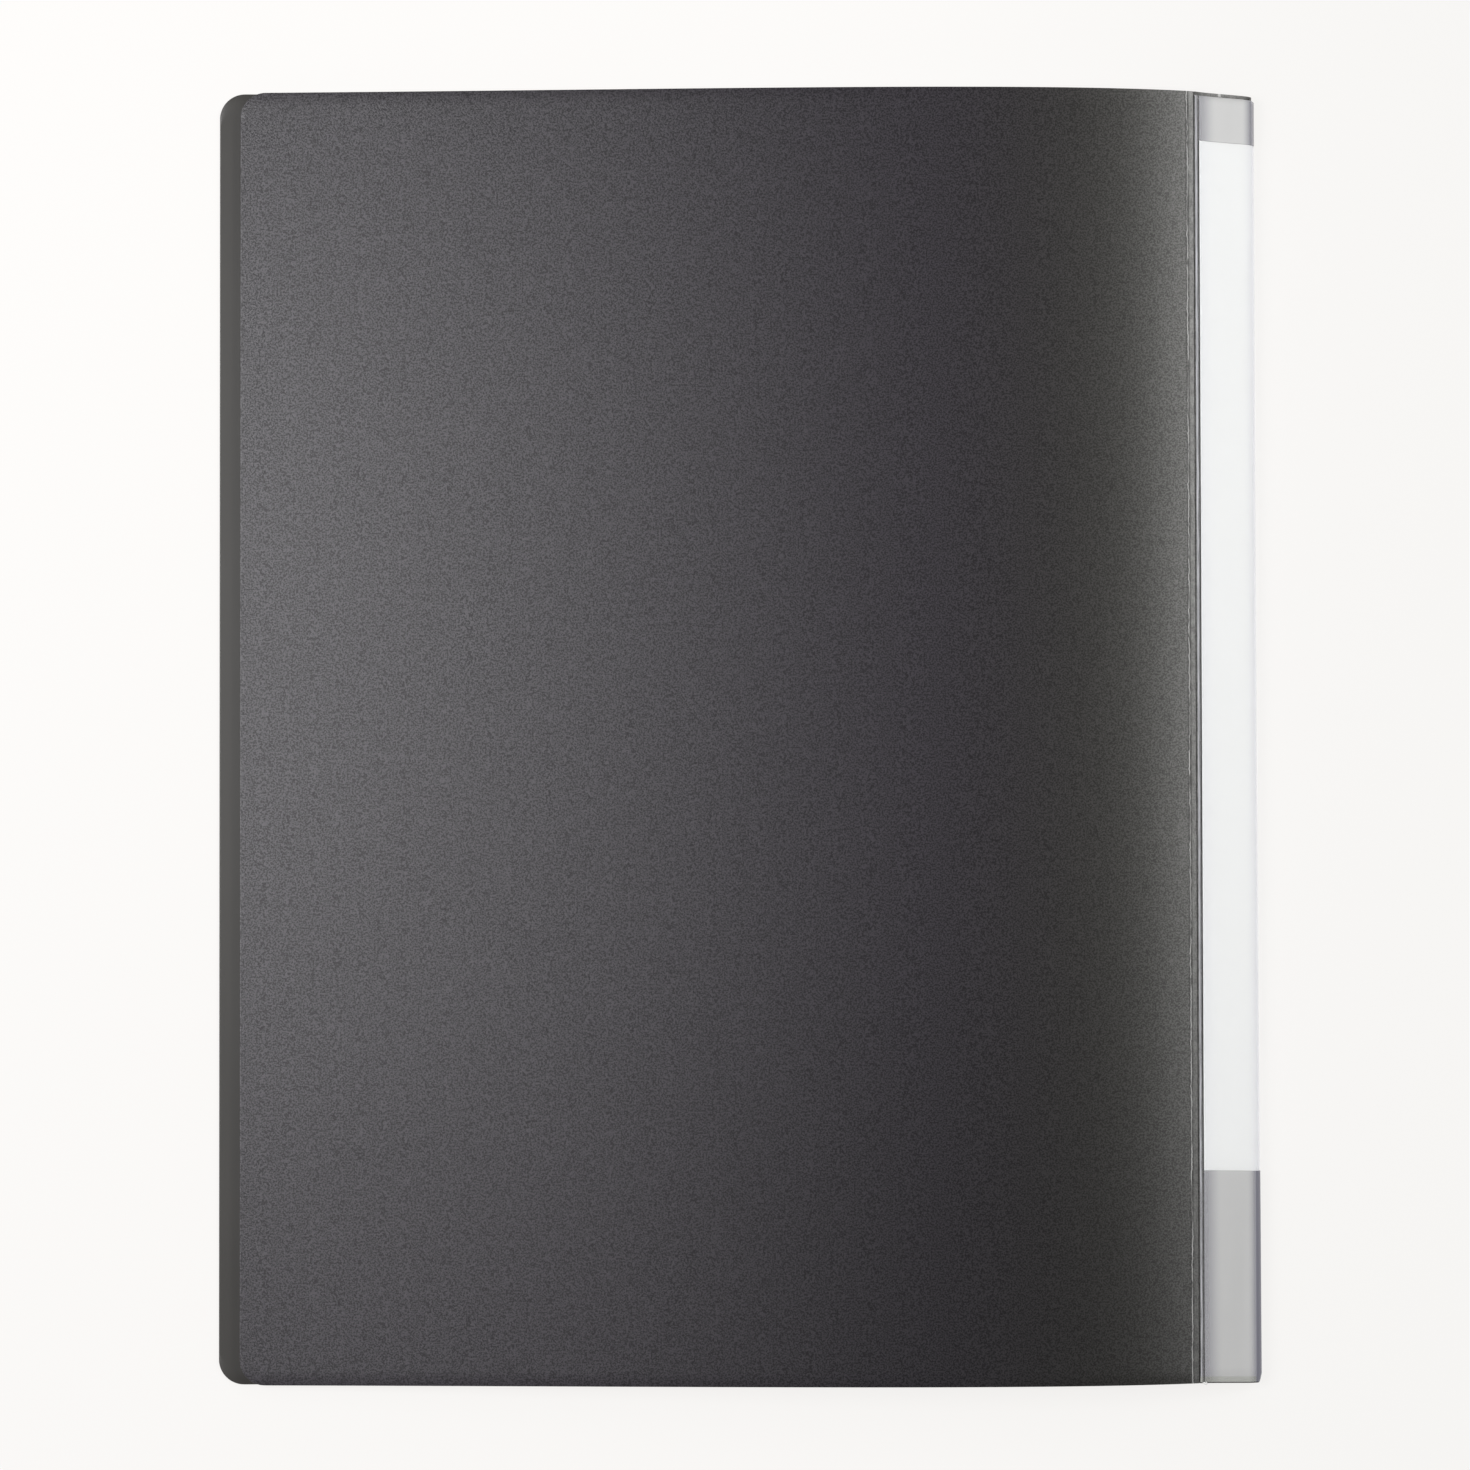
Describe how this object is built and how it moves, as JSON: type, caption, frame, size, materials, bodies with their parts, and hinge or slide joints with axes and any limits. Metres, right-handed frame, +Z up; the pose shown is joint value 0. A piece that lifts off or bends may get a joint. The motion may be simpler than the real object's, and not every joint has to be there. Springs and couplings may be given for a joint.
{
  "type": "display book",
  "caption": "Closed A4 display book with hinged plastic covers, a rounded spine with a clear label pocket, and a stack of clear pockets inside.",
  "frame": {"origin": "on the table, under the middle of the closed book's bounding box", "axes": "+X from the fore edge to the spine, +Y along the spine to the top of the book, +Z up, with the book lying on its front cover"},
  "size_m": [0.2473, 0.307, 0.0145],
  "materials": {
    "cover_plastic": "matt black polypropylene sheet with a fine grain",
    "clear_film": "clear glossy plastic film",
    "label_card": "plain white card",
    "pocket_film": "stacked clear pocket film"
  },
  "bodies": {
    "spine": {"spine_panel": "cover_plastic", "spine_film": "clear_film", "label_card": "label_card", "pocket_block": "pocket_film"},
    "back_leaf": {"back_cover": "cover_plastic"},
    "front_leaf": {"front_cover": "cover_plastic"}
  },
  "joints": [
    {"name": "back_hinge", "type": "hinge", "parent": "spine", "child": "back_leaf", "pos_m": [0.10668, 0, 0.00953], "axis": [0, 1, 0], "range_deg": [0, 150]},
    {"name": "front_hinge", "type": "hinge", "parent": "spine", "child": "front_leaf", "pos_m": [0.10242, 0, -0.00019], "axis": [0, -1, 0], "range_deg": [0, 150]}
  ]
}
